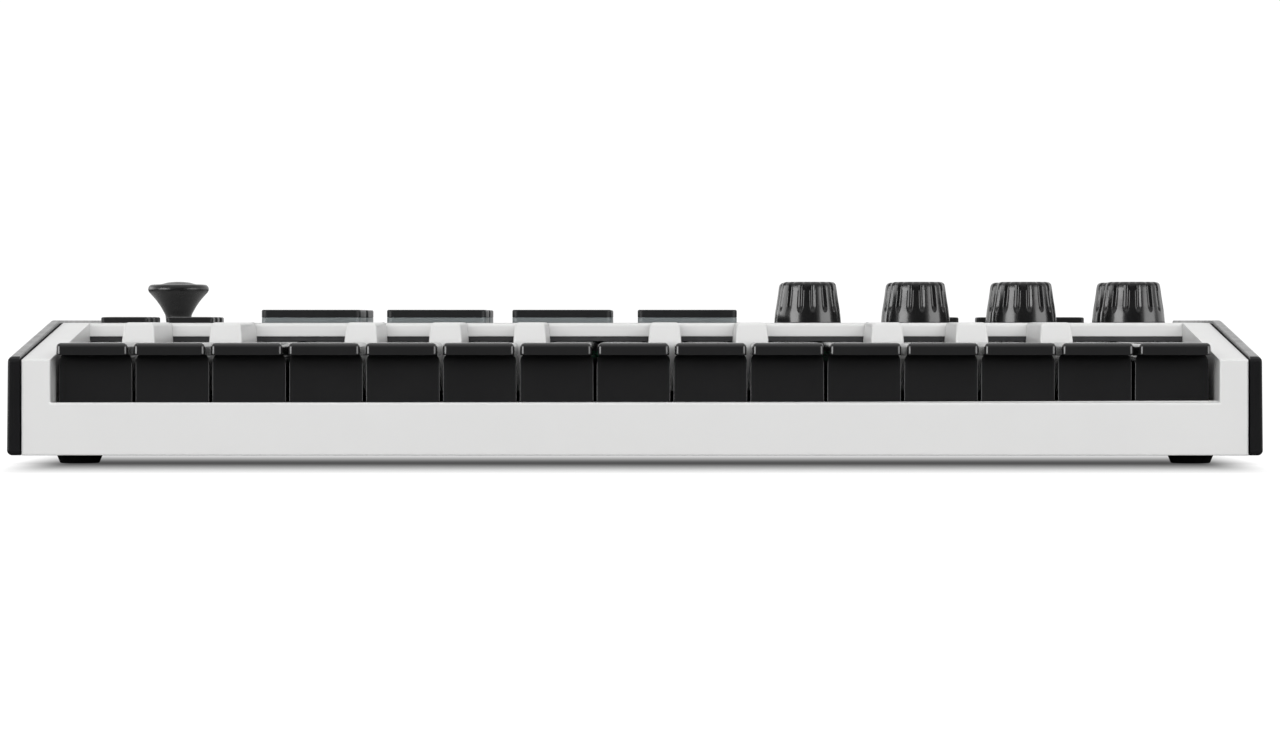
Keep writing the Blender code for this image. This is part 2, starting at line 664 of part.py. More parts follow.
def joystick_stick(plastic):
    """The thumbstick: a ball low down, a thin stem, and a flared cap with a rim and a small dome."""
    low = STICK_PIVOT - 2.2
    heights = [low + step * (36.13 - low) / 4 for step in range(5)]
    ball = [(math.sqrt(BALL_RADIUS ** 2 - (z - STICK_PIVOT) ** 2), z) for z in heights]
    cap = [(3.6, 36.6), (3.8, 38.1), (5.15, 40.6), (6.75, 42.8), (8.3, 44.5), (8.62, 45.4), (8.3, 46.3),
           (7.0, 46.8), (4.3, 46.9), (1.0, 47.55)]
    stick = turned(ball + cap, STICK_X, STICK_DEPTH)
    reach = BALL_RADIUS + 0.3
    join(stick, prism(circle(STICK_X, STICK_PIVOT, 0.6, 12), STICK_DEPTH - reach, STICK_DEPTH + reach, "y"))
    return finish(stick, "joystick_stick", plastic, (STICK_X, STICK_DEPTH, STICK_PIVOT), smooth=True)


def joystick_gimbal(plastic):
    """The ring around the stick's ball, with a pin on each side that turns in the board's bearings."""
    inner, outer = GIMBAL_RADII
    low, high = STICK_PIVOT - GIMBAL_HALF, STICK_PIVOT + GIMBAL_HALF
    ring = prism(circle(STICK_X, STICK_DEPTH, outer, 24), low, high)
    pin = circle(STICK_DEPTH, STICK_PIVOT, 0.6, 12)
    join(ring, prism(pin, STICK_X - GIMBAL_PIN_END, STICK_X + GIMBAL_PIN_END, "x"))
    cut(ring, prism(circle(STICK_X, STICK_DEPTH, inner, 24), low - 1, high + 1))
    return finish(ring, "joystick_gimbal", plastic, (STICK_X, STICK_DEPTH, STICK_PIVOT))


# ---------------------------------------------------------------- assembly

def main():
    for existing in list(bpy.data.objects):
        bpy.data.objects.remove(existing)
    white = material("white_plastic", (0.80, 0.80, 0.79), 0.45)
    black = material("black_plastic", (0.015, 0.015, 0.016), 0.5)
    glossy = material("glossy_black_keys", (0.01, 0.01, 0.011), 0.18)
    rubber = material("dark_rubber", (0.025, 0.025, 0.026), 0.7)
    laminate = material("board_laminate", (0.02, 0.12, 0.06), 0.5)
    grey = material("grey_plastic", (0.25, 0.25, 0.26), 0.5)

    pieces = [top_case(white), bottom_case(white)]
    pieces += [cheek("left_cheek", -1, black), cheek("right_cheek", 1, black)]
    pieces += [key_chassis(grey), main_board(laminate), pedal_jack(black)]
    pieces += [natural_key(name, glossy) for name in NATURALS]
    pieces += [sharp_key(name, white) for name in sharp_centres()]
    pieces += [pad(number + 1, x, y, rubber) for number, (x, y) in enumerate(pad_places())]
    pieces += [button(name, x, y, rubber) for name, (x, y) in button_places().items()]
    pieces += [knob(number + 1, x, y, black) for number, (x, y) in enumerate(knob_places())]
    pieces += [joystick_gimbal(grey), joystick_stick(black)]

    assembly = bpy.data.objects.new("midi_keyboard", None)
    bpy.context.scene.collection.objects.link(assembly)
    for piece in pieces:
        piece.parent = assembly


main()
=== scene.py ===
"""Looks of the compact keyboard controller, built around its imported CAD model.

Lengths are in millimetres, in the CAD model's frame: x runs to the right seen from the front, y to the
rear, and z up from the table. MM turns them into metres.
"""
import json
import math

import bmesh
import bpy
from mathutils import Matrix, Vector


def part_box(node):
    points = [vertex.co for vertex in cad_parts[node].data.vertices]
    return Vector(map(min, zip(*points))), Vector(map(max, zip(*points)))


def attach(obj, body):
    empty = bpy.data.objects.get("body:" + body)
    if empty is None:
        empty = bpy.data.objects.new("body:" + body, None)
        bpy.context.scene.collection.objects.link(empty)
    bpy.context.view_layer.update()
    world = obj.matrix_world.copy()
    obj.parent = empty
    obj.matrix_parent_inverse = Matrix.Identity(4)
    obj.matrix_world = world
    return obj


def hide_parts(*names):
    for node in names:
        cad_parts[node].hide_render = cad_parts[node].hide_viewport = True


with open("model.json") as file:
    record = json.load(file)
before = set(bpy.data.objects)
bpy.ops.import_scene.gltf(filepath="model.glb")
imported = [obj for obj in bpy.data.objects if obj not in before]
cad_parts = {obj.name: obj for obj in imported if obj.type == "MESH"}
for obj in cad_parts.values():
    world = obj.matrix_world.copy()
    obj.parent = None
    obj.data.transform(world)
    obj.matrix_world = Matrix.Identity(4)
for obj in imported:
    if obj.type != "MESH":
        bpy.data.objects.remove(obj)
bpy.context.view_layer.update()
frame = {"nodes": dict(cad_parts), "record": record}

MM = 0.001
NODES = frame["nodes"]
BODIES = frame["record"]["behaviour"]["bodies"]
BODY_OF = {node: body for body, nodes in BODIES.items() for node in nodes}


def box_of(node):
    """Lowest and highest corner of a CAD node in millimetres."""
    return [[value / MM for value in corner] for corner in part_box(node)]


# The photograph's view
CAMERA_PLACE = (5.1, -1290.5, 36.2)
CAMERA_TARGET = (1.35, -90.5, 23.2)
LENS = 133.37
SENSOR = 36.0

# White case
(_, CASE_FRONT, _), (_, CASE_REAR, PANEL_TOP) = box_of("top_case")
UNDERSIDE = 2.3                 # the base plate's lower face; the feet reach down to the table
PANEL_FRONT = -5.5              # where the sloping rails end and the flat panel starts
RAIL_FRONT_TOP = 26.55
KEYBED_HALF = 148.05            # inner faces of the two rails
BAR_TOP = 15.7                  # top of the low bar in front of the keys
# Heights of a dark strip under the panel's front wall: painted shade for the shadowed gap above the keys
SHADE_STRIP_LOW, SHADE_STRIP_HIGH = 30.95, 32.2

# Side cheeks
CHEEK_FRONT_TOP = 27.3
CHEEK_SLOPE_END = -8.0
CHEEK_DRAFT = 0.010             # the outer face leans inwards by this much for each millimetre of height
CHEEK_ROUND = 1.2
CHEEK_FRONT_SHARP = 0.75        # how much of that rounding the upright front edge lacks
CHEEK_CORNERS = 1.3
CHEEK_BEND = 8.0                # radius where the slope meets the level top
CHEEK_FRONT_CORNER = 1.6

# Keys
LIP_THICK = 3.1
LIP_REACH = 8.5                 # how far the lip stands out over the key's lower front face
LIP_HALF = 9.08
LIP_CORNER = 1.25               # radius of the lip's corners seen from above
LIP_ROUND = 1.15                # radius of the lip's upper edge
NATURAL_HALF = 9.42             # half width of a natural's lower body
NATURAL_WALL = 1.3
NATURAL_SHIFT = -0.35           # the naturals sit this much off centre between their neighbours
NOTCH_FRONT = -54.4             # where a natural gets narrow to let the sharps pass
KEY_REAR = -6.2
REAR_RISE = 6.5                 # how much higher a natural's lower edge is at its rear
SHARP_CLEARANCE = 0.9
SHARP_HALF = 4.3

# Pads and buttons
FLANGE_BOTTOM = 31.5            # the flange under the panel, which holds a pad or a button
FLANGE_TOP = 33.3
SKIRT_TOP = 37.35               # where a pad's translucent skirt ends and its dark cap starts
PAD_SIDE = 27.2
PAD_FLANGE = 29.6
PAD_PLUNGER = 21.2
PAD_CORNER = 1.6
BUTTON_SIZE = (12.9, 7.5)
BUTTON_FLANGE = (15.0, 9.4)
BUTTON_PLUNGER = (8.9, 4.5)
BUTTON_CORNER = 1.1
BUTTON_CROWN = 0.08
EDGE_ROUND = 0.4                # rounding of the upper edges of pads and buttons

# Knobs and stick
KNOB_BASE = 35.84
KNOB_SHAFT = 3.0
KNOB_FLUTES = 15
KNOB_STEPS = 20 * KNOB_FLUTES
GROOVE_HALF = 0.78              # half a groove's width
GROOVE_DEPTH = 0.62
GROOVE_TIP = 38.9               # height at which the grooves run out
GROOVE_RUN_OUT = 1.6
STICK_PIVOT = 30.5
BALL_RADIUS = 6.48

# Underside, inside and rear
FOOT_PLACES = [(side * 142.3, y) for side in (-1, 1) for y in (-75.5, 75.5)]
SCREW_PLACES = [(-120, -83.9), (0, -83.9), (120, -83.9), (-149, 67.5), (0, 80.5), (149, 67.5)]
JACK_PLACE = (-60.0, 20.5)      # x and z of the sockets at the rear
USB_PLACE = (-95.0, 21.1)
DISPLAY_PLACE = (57.0, 75.5)
DISPLAY_REACH = (17.0, 9.0)
WINDOW_BOTTOM = 33.9
BOARD_BOTTOM, BOARD_TOP = 26.4, 28.2

# Light and floor
SHADOW_MIDDLE = -78.5           # where the soft shadow on the floor is darkest
SHADOW_FRONT = 105.0
SHADOW_REAR = 95.0
SHADOW_HALF = 143.0
SHADOW_FADE = 18.0
SHADOW_DARKNESS = 0.91
FLOOR_HALF = 6000
STRIPS = [                      # side, first and last direction from straight ahead (degrees), strength
    (-1, 38, 74, 8.0),
    (-1, 100, 135, 3.0),
    (1, 42, 84, 5.0),
    (1, 100, 135, 1.6),
]
STRIP_DISTANCE = 1700
STRIP_TOP = 650
SOFTBOXES = [                   # name, place, width, height, radiance
    ("left_softbox", (-1500, -1100, 700), 700, 1000, 2.9),
    ("right_softbox", (1500, -1100, 700), 700, 1000, 3.3),
    ("front_softbox", (0, -1900, 550), 2200, 700, 4.4),
]
SOFTBOX_TARGET = (0, -40, 20)
FLOOR_GREY = 0.20               # the floor as everything but the camera sees it
FLOOR_WHITE = 0.90              # the floor's glow as the camera sees it
SURROUND_FRONT, SURROUND_BACK = 0.55, 1.0
SURROUND_SEEN = 1.05            # the surround as the camera sees it


# ---------------------------------------------------------------- materials

def noise_node(nodes, links, coordinates, size, detail=2.0):
    """Noise whose features are about the given size in millimetres."""
    noise = nodes.new("ShaderNodeTexNoise")
    noise.inputs["Scale"].default_value = 1 / (size * MM)
    noise.inputs["Detail"].default_value = detail
    links.new(coordinates.outputs["Object"], noise.inputs["Vector"])
    return noise


def spread(nodes, links, source, low, high):
    """Maps noise onto a range of values."""
    ramp = nodes.new("ShaderNodeMapRange")
    ramp.inputs["From Min"].default_value = 0.3
    ramp.inputs["From Max"].default_value = 0.7
    ramp.inputs["To Min"].default_value = low
    ramp.inputs["To Max"].default_value = high
    links.new(source.outputs["Fac"], ramp.inputs["Value"])
    return ramp


def moulded(name, colour, roughness, grain, depth, tone=0.05, patchiness=0.04, patch=18.0, specular=0.5):
    """Moulded plastic or rubber: faint clouding of colour and gloss, and a fine moulded grain.

    grain and depth are the grain's size and height. tone and patchiness say how much the colour and the
    roughness vary, and patch is the size of the clouds.
    """
    material = bpy.data.materials.new(name)
    material.use_nodes = True
    nodes, links = material.node_tree.nodes, material.node_tree.links
    shader = nodes["Principled BSDF"]
    shader.inputs["Specular IOR Level"].default_value = specular
    coordinates = nodes.new("ShaderNodeTexCoord")
    clouds = noise_node(nodes, links, coordinates, patch)
    mix = nodes.new("ShaderNodeMix")
    mix.data_type = "RGBA"
    mix.inputs["A"].default_value = (*[channel * (1 - tone) for channel in colour], 1)
    mix.inputs["B"].default_value = (*[min(1.0, channel * (1 + tone)) for channel in colour], 1)
    links.new(clouds.outputs["Fac"], mix.inputs["Factor"])
    links.new(mix.outputs["Result"], shader.inputs["Base Color"])
    smears = noise_node(nodes, links, coordinates, patch * 0.45, 4.0)
    gloss = spread(nodes, links, smears, roughness - patchiness, roughness + patchiness)
    links.new(gloss.outputs["Result"], shader.inputs["Roughness"])
    grains = noise_node(nodes, links, coordinates, grain, 3.0)
    bump = nodes.new("ShaderNodeBump")
    bump.inputs["Strength"].default_value = 1.0
    bump.inputs["Distance"].default_value = depth * MM
    links.new(grains.outputs["Fac"], bump.inputs["Height"])
    links.new(bump.outputs["Normal"], shader.inputs["Normal"])
    return material


def translucent(name, colour):
    """Milky silicone that lets some light through its edge."""
    material = moulded(name, colour, 0.42, 0.5, 0.004)
    shader = material.node_tree.nodes["Principled BSDF"]
    shader.inputs["Subsurface Weight"].default_value = 0.8
    shader.inputs["Subsurface Scale"].default_value = 2.0 * MM
    shader.inputs["Subsurface Radius"].default_value = (1.0, 1.0, 1.0)
    return material


def metal(name, colour, roughness):
    """Plated metal with fine uneven gloss."""
    material = moulded(name, colour, roughness, 0.3, 0.002, 0.08, 0.08, 4.0)
    material.node_tree.nodes["Principled BSDF"].inputs["Metallic"].default_value = 1.0
    return material


def glass(name):
    """A dark polished window."""
    material = moulded(name, (0.008, 0.009, 0.011), 0.08, 6.0, 0.001, 0.2, 0.02, 30.0)
    material.node_tree.nodes["Principled BSDF"].inputs["Coat Weight"].default_value = 0.6
    return material


WHITE = moulded("white_plastic", (0.68, 0.68, 0.676), 0.44, 0.35, 0.0035, 0.015)
SHARP_WHITE = moulded("white_key_plastic", (0.64, 0.64, 0.636), 0.36, 0.5, 0.002, 0.015)
CHEEK_BLACK = moulded("cheek_plastic", (0.010, 0.010, 0.0105), 0.2, 0.28, 0.004, 0.12,
                      patch=12.0, specular=0.2)
KEY_BLACK = moulded("glossy_key_plastic", (0.0165, 0.0165, 0.017), 0.1, 0.8, 0.0006, 0.1,
                    patchiness=0.03, patch=14.0)
CAP_RUBBER = moulded("pad_cap_rubber", (0.0085, 0.009, 0.0095), 0.4, 0.3, 0.005, 0.1, specular=0.2)
BUTTON_RUBBER = moulded("button_rubber", (0.008, 0.008, 0.0083), 0.36, 0.3, 0.004, 0.1, specular=0.25)
KNOB_BLACK = moulded("knob_plastic", (0.006, 0.006, 0.0062), 0.2, 0.3, 0.001, 0.1, patch=6.0)
STICK_BLACK = moulded("stick_plastic", (0.007, 0.007, 0.0072), 0.3, 0.3, 0.002, 0.1,
                      patchiness=0.05, patch=6.0, specular=0.42)
FOOT_RUBBER = moulded("foot_rubber", (0.006, 0.006, 0.006), 0.7, 0.4, 0.01, 0.15, specular=0.1)
SKIRT = translucent("pad_skirt_silicone", (0.15, 0.168, 0.172))
# Dark material of that strip: it paints the shade in the gap under the panel's front wall
SHADE_STRIP_DARK = moulded("painted_shade_dark", (0.055, 0.055, 0.057), 0.9, 0.25, 0.05, 0.25,
               patchiness=0.02, patch=3.0, specular=0.1)
GREY = moulded("chassis_plastic", (0.22, 0.22, 0.23), 0.5, 0.4, 0.006)
BOARD_GREEN = moulded("board_laminate", (0.015, 0.10, 0.05), 0.35, 0.9, 0.004, 0.15)
DARK_PLASTIC = moulded("dark_plastic", (0.02, 0.02, 0.02), 0.45, 0.4, 0.004)
STEEL = metal("plated_steel", (0.62, 0.62, 0.63), 0.28)
WINDOW = glass("display_window")


# ---------------------------------------------------------------- mesh tools

def middle_of(node):
    """Where a CAD node's middle is, from above."""
    low, high = box_of(node)
    return (low[0] + high[0]) / 2, (low[1] + high[1]) / 2


def heights_of(node):
    """A CAD node's lowest and highest point."""
    low, high = box_of(node)
    return low[2], high[2]


def add_piece(name, shape, materials, body, replaced=(), sharp=35.0):
    """Makes a visible piece of a mesh and lets it ride on a CAD body."""
    mesh = bpy.data.meshes.new(name)
    shape.to_mesh(mesh)
    shape.free()
    for material in materials:
        mesh.materials.append(material)
    mesh.shade_smooth()
    if sharp:
        mesh.set_sharp_from_angle(angle=math.radians(sharp))
    piece = bpy.data.objects.new(name, mesh)
    bpy.context.scene.collection.objects.link(piece)
    if sharp:
        flatness = piece.modifiers.new("large faces stay flat", "WEIGHTED_NORMAL")
        flatness.keep_sharp = True
    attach(piece, body)
    if replaced:
        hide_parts(*replaced)
    return piece


def loft(rings, shape=None, closed=False):
    """Skins closed rings of equally many points, and caps both ends, or joins them if closed."""
    shape = shape or bmesh.new()
    made = [[shape.verts.new([value * MM for value in point]) for point in ring] for ring in rings]
    faces = [] if closed else [shape.faces.new(made[0]), shape.faces.new(made[-1])]
    for ring, following in zip(made, made[1:] + made[:1] if closed else made[1:]):
        for index in range(len(ring)):
            other = (index + 1) % len(ring)
            faces.append(shape.faces.new((ring[index], ring[other], following[other], following[index])))
    bmesh.ops.recalc_face_normals(shape, faces=faces)
    return shape


def circle(x, y, radius, z, steps):
    """A level ring of points."""
    angles = [2 * math.pi * step / steps for step in range(steps)]
    return [(x + radius * math.cos(angle), y + radius * math.sin(angle), z) for angle in angles]


def rounded(x, y, width, depth, radius, z, steps=6):
    """A level ring in the shape of a rectangle with round corners."""
    ring = []
    for corner, (sx, sy) in enumerate(((1, 1), (-1, 1), (-1, -1), (1, -1))):
        for step in range(steps + 1):
            angle = math.radians(90 * corner + 90 * step / steps)
            ring.append((x + sx * (width / 2 - radius) + radius * math.cos(angle),
                         y + sy * (depth / 2 - radius) + radius * math.sin(angle), z))
    return ring


def round_over(low, high, radius, steps=4):
    """(height, inset) pairs from a lower edge to an upper edge that is rounded over."""
    pairs = [(low, 0.0)]
    for step in range(steps + 1):
        angle = math.radians(90 * step / steps)
        pairs.append((high - radius + radius * math.sin(angle), radius - radius * math.cos(angle)))
    return pairs


def near(value, target, reach=0.06):
    """Whether two lengths are the same, but for the CAD model's small errors."""
    return abs(value - target) < reach


def let_in(corners, inset, steps=4):
    """An anticlockwise polygon, with corners (a, b, radius), let in by a distance and rounded."""
    ring = []
    for before, corner, after in zip(corners[-1:] + corners[:-1], corners, corners[1:] + corners[:1]):
        start, turn, end = (Vector(point[:2]) for point in (before, corner, after))
        into, out = (turn - start).normalized(), (end - turn).normalized()
        first, second = Vector((-into.y, into.x)), Vector((-out.y, out.x))
        bend = math.atan2(into.cross(out), into.dot(out))
        if abs(bend) < 0.01:
            ring.append(turn + inset * first)
            continue
        side = 1 if bend > 0 else -1
        radius = max(corner[2] - side * inset, 0.02)
        centre = turn + (inset + side * radius) * (first + second) / (1 + first.dot(second))
        begin = math.atan2(first.y, first.x)
        for step in range(steps + 1):
            angle = begin + bend * step / steps
            ring.append(centre - side * radius * Vector((math.cos(angle), math.sin(angle))))
    return ring


def clean_shape(node):
    """A CAD node's mesh, with its flat stretches joined into whole faces."""
    same_point, same_plane = 0.002 * MM, math.radians(0.5)
    shape = bmesh.new()
    shape.from_mesh(NODES[node].data)
    bmesh.ops.remove_doubles(shape, verts=shape.verts, dist=same_point)
    bmesh.ops.dissolve_limit(shape, angle_limit=same_plane, verts=shape.verts, edges=shape.edges)
    return shape


def mark_edges(shape, radius_of):
    """Marks how much each edge is to be rounded, as a share of the largest rounding, which it returns."""
    smallest_bend = math.radians(24)
    weights = shape.edges.layers.float.new("bevel_weight_edge")
    radii = {}
    for edge in shape.edges:
        if len(edge.link_faces) == 2 and edge.calc_face_angle(0.0) > smallest_bend:
            a, b = (vertex.co / MM for vertex in edge.verts)
            radii[edge] = radius_of(a, b)
            edge.smooth = False
    largest = max(radii.values())
    for edge, radius in radii.items():
        edge[weights] = radius / largest if largest else 0.0
    return largest


def no_rounding(a, b):
    """The rounding of edges that stay sharp."""
    return 0.0


def refined(node, name, materials, radius_of=no_rounding, segments=3, change=None, paint=None):
    """A CAD node's shape with whole flat faces and rounded edges.

    radius_of(a, b) gives the rounding of the edge between the points a and b, or 0 for none.
    change(shape) may edit the mesh first, and paint(centre) gives a face's material number.
    """
    shape = clean_shape(node)
    if change:
        change(shape)
    if paint:
        for face in shape.faces:
            face.material_index = paint(face.calc_center_median() / MM)
    largest = mark_edges(shape, radius_of)
    piece = add_piece(name, shape, materials, BODY_OF[node], [node], sharp=None)
    if largest:
        bevel = piece.modifiers.new("rounded edges", "BEVEL")
        bevel.limit_method = "WEIGHT"
        bevel.width = largest * MM
        bevel.segments = segments
        bevel.harden_normals = True
        bevel.use_clamp_overlap = False
    return piece


# ---------------------------------------------------------------- case

def case_top(y):
    """Height of the case's top surface at a depth: sloping rails, then the flat panel."""
    rise = (PANEL_TOP - RAIL_FRONT_TOP) / (PANEL_FRONT - CASE_FRONT)
    return min(PANEL_TOP, RAIL_FRONT_TOP + rise * (y - CASE_FRONT))


def case_radius(a, b):
    """Rounding of the white case's outer edges; edges inside it stay sharp."""
    on_top = near(a.z, case_top(a.y)) and near(b.z, case_top(b.y))
    on_front = near(a.y, CASE_FRONT) and near(b.y, CASE_FRONT)
    if on_top and near(a.y, PANEL_FRONT) and near(b.y, PANEL_FRONT):
        return 0.9
    if on_top and near(abs(a.x), KEYBED_HALF) and near(abs(b.x), KEYBED_HALF):
        return 0.15
    if on_top:
        return 0.28
    if on_front:
        return 0.55
    if near(a.z, BAR_TOP) and near(b.z, BAR_TOP):
        return 0.45
    if near(a.y, PANEL_FRONT) and near(b.y, PANEL_FRONT):
        return 0.3
    if near(a.y, CASE_REAR) and near(b.y, CASE_REAR):
        return 0.28
    return 0.0


def without_feet(shape):
    """Cuts the moulded feet off the base plate."""
    level = Vector((0, 0, UNDERSIDE * MM))
    geometry = shape.verts[:] + shape.edges[:] + shape.faces[:]
    cut = bmesh.ops.bisect_plane(shape, geom=geometry, dist=1e-7, plane_co=level, plane_no=(0, 0, 1),
                                 clear_inner=True)
    edges = [item for item in cut["geom_cut"] if isinstance(item, bmesh.types.BMEdge)]
    rims = [edge for edge in edges if edge.is_boundary]
    bmesh.ops.holes_fill(shape, edges=rims)


def build_case():
    """The white shell and the base plate."""
    refined("top_case", "case_shell", [WHITE], case_radius)
    refined("bottom_case", "base_plate", [WHITE], lambda a, b: 0.2, segments=2, change=without_feet)


def cheek_levels(inner, outer):
    """(inset, distance from the middle, draft) from a cheek's inner face to its rounded outer face."""
    levels = [(0.15, inner, 0.0), (0.0, inner + 0.15, 0.0)]
    for step in range(7):
        angle = math.radians(90 * step / 6)
        inset = CHEEK_ROUND * (1 - math.cos(angle))
        levels.append((inset, outer - CHEEK_ROUND * (1 - math.sin(angle)), CHEEK_DRAFT))
    return levels


def build_cheeks():
    """Two side cheeks: leaning outer faces with well rounded edges."""
    for node, side in (("left_cheek", -1), ("right_cheek", 1)):
        low, high = box_of(node)
        inner, outer = sorted((abs(low[0]), abs(high[0])))
        outline = [(low[1], low[2], CHEEK_CORNERS), (high[1], low[2], CHEEK_CORNERS),
                   (high[1], high[2], CHEEK_CORNERS), (CHEEK_SLOPE_END, high[2], CHEEK_BEND),
                   (low[1], CHEEK_FRONT_TOP, CHEEK_FRONT_CORNER)]
        rings = []
        for inset, x, draft in cheek_levels(inner, outer):
            ring = []
            for y, z in let_in(outline, inset, 6):
                frontness = min(1.0, max(0.0, 1.5 - (y - low[1] - inset)))
                squared = y - CHEEK_FRONT_SHARP * inset * frontness
                ring.append((side * (x - draft * (z - low[2])), squared, z))
            rings.append(ring)
        add_piece(node + "_shell", loft(rings), [CHEEK_BLACK], "case", [node])


def build_feet():
    """Four tapering rubber feet with a shallow ring on the underside."""
    profile = [(2.6, 0.35), (3.0, 0.0), (4.7, 0.0), (5.0, 0.12), (5.15, 0.4), (5.8, 2.0), (5.92, 2.28)]
    for number, (x, y) in enumerate(FOOT_PLACES):
        shape = loft([circle(x, y, radius, z, 48) for radius, z in profile])
        add_piece(f"foot_{number + 1}", shape, [FOOT_RUBBER], "case")


def screw_shape(x, y):
    """A round screw head with a cross recess, facing down."""
    face, floor = 2.42, 2.85        # heights of the head's face and of the recess's floor
    arm, half = 1.35, 0.32          # reach and half width of the cross
    quarter = [(half, -half), (arm, -half), (arm, half)]
    cross = []
    for turn in range(4):
        cross += quarter
        quarter = [(-b, a) for a, b in quarter]
    head = ((2.45, 3.15), (2.5, 2.75), (2.3, 2.52), (2.05, face))
    shape = loft([circle(x, y, radius, z, 24) for radius, z in head])
    lowest = min(shape.faces, key=lambda found: found.calc_center_median().z)
    rim = list(lowest.edges)
    shape.faces.remove(lowest)
    lip, deep = [], []
    for ring, scale, z in ((lip, 1.0, face), (deep, 0.8, floor)):
        for px, py in cross:
            ring.append(shape.verts.new(((x + px * scale) * MM, (y + py * scale) * MM, z * MM)))
    for index in range(len(cross)):
        other = (index + 1) % len(cross)
        shape.faces.new((lip[index], lip[other], deep[other], deep[index]))
        rim.append(shape.edges.get((lip[index], lip[other])))
    shape.faces.new(deep)
    bmesh.ops.triangle_fill(shape, edges=rim, use_beauty=True)
    bmesh.ops.recalc_face_normals(shape, faces=shape.faces)
    return shape


def build_screws():
    """The case's screws, seen from below."""
    for number, (x, y) in enumerate(SCREW_PLACES):
        add_piece(f"case_screw_{number + 1}", screw_shape(x, y), [STEEL], "case")


# ---------------------------------------------------------------- keys

def is_sharp(node):
    """Whether a node is a sharp key, such as key_cs1."""
    return node.startswith("key_") and node[5] == "s"


def natural_plan(node, front, half, radius):
    """The outline of a natural key from above, with its notches for the sharps beside it."""
    x = middle_of(node)[0] + NATURAL_SHIFT
    sides = [x - half, x + half]
    necks = list(sides)
    for other in NODES:
        if is_sharp(other):
            left, right = (corner[0] for corner in box_of(other))
            if left < sides[0] < right + SHARP_CLEARANCE:
                necks[0] = right + SHARP_CLEARANCE
            if left - SHARP_CLEARANCE < sides[1] < right:
                necks[1] = left - SHARP_CLEARANCE
    plan = [(sides[0], front, radius), (sides[1], front, radius), (sides[1], NOTCH_FRONT, 0.4)]
    if necks[1] != sides[1]:
        plan.append((necks[1], NOTCH_FRONT, 0.4))
    plan += [(necks[1], KEY_REAR, 0.3), (necks[0], KEY_REAR, 0.3)]
    if necks[0] != sides[0]:
        plan.append((necks[0], NOTCH_FRONT, 0.4))
    return plan + [(sides[0], NOTCH_FRONT, 0.4)]


def only_arm(shape):
    """Keeps the part of a key's CAD shape that lies behind its rear end: the arm with its hook."""
    geometry = shape.verts[:] + shape.edges[:] + shape.faces[:]
    bmesh.ops.bisect_plane(shape, geom=geometry, dist=1e-7, plane_co=(0, (KEY_REAR - 0.7) * MM, 0),
                           plane_no=(0, 1, 0), clear_inner=True)


def build_arm(node, plastic):
    """The arm that runs back from a key under the panel."""
    refined(node, "arm_of_" + node, [plastic], change=only_arm)


def level_rings(plan, steps):
    """The plan as level rings; each step is (height, inset)."""
    return [[(point.x, point.y, z) for point in let_in(plan, inset)] for z, inset in steps]


def build_natural(node):
    """A natural key: a hollow lower body, let in under a lip with rounded edges, and its arm."""
    low, high = box_of(node)
    lip_bottom = high[2] - LIP_THICK

    def bottom(y):
        return low[2] + REAR_RISE * max(0.0, (y - NOTCH_FRONT) / (KEY_REAR - NOTCH_FRONT))

    plan = natural_plan(node, low[1] + LIP_REACH, NATURAL_HALF, 0.22)
    rings = level_rings(plan, [(lip_bottom + 0.3, NATURAL_WALL)])
    for inset, rise in ((NATURAL_WALL - 0.1, 0.0), (0.15, 0.0), (0.0, 0.15)):
        rings.append([(point.x, point.y, bottom(point.y) + rise) for point in let_in(plan, inset)])
    shoulder = ((-2.2, 0.08), (-1.2, 0.16), (-0.5, 0.38), (-0.12, 0.7), (0.3, 0.9))
    rings += level_rings(plan, [(lip_bottom + rise, inset) for rise, inset in shoulder])
    shape = loft(rings)
    plan = natural_plan(node, low[1], LIP_HALF, LIP_CORNER)
    steps = [(lip_bottom, 0.2), (lip_bottom + 0.07, 0.06), (lip_bottom + 0.25, 0.0)]
    steps += round_over(lip_bottom + 0.4, high[2], LIP_ROUND, 7)
    loft(level_rings(plan, steps), shape)
    add_piece("natural_" + node[4:], shape, [KEY_BLACK], node)
    build_arm(node, KEY_BLACK)


def build_sharp(node):
    """A sharp key: a raised block with a leaning front, rounded all over, and its arm."""
    low, high = box_of(node)
    x = (low[0] + high[0]) / 2
    # Height, inset of the sides, setback of the front
    levels = [(18.2, 0.3, 0.0), (18.5, 0.0, 0.0), (30.6, 0.0, 0.0), (31.3, 0.02, 0.08),
              (32.0, 0.08, 0.32), (34.8, 0.33, 1.42), (35.2, 0.4, 1.6), (35.55, 0.55, 1.82),
              (35.8, 0.8, 2.1), (35.94, 1.1, 2.45), (36.0, 1.5, 2.9)]
    rings = []
    for z, inset, setback in levels:
        front, rear = low[1] + setback, KEY_REAR - inset * 0.6
        left, right = x - SHARP_HALF + inset, x + SHARP_HALF - inset
        outline = [(left, front, 0.7), (right, front, 0.7), (right, rear, 0.4), (left, rear, 0.4)]
        rings += level_rings(outline, [(z, 0.0)])
    add_piece("sharp_" + node[4:], loft(rings), [SHARP_WHITE], node, sharp=50.0)
    build_arm(node, SHARP_WHITE)


# ---------------------------------------------------------------- pads and buttons

def stepped(x, y, steps):
    """A solid of level rounded rectangles; each step is (height, width, depth, corner radius)."""
    return loft([rounded(x, y, width, depth, radius, z) for z, width, depth, radius in steps])


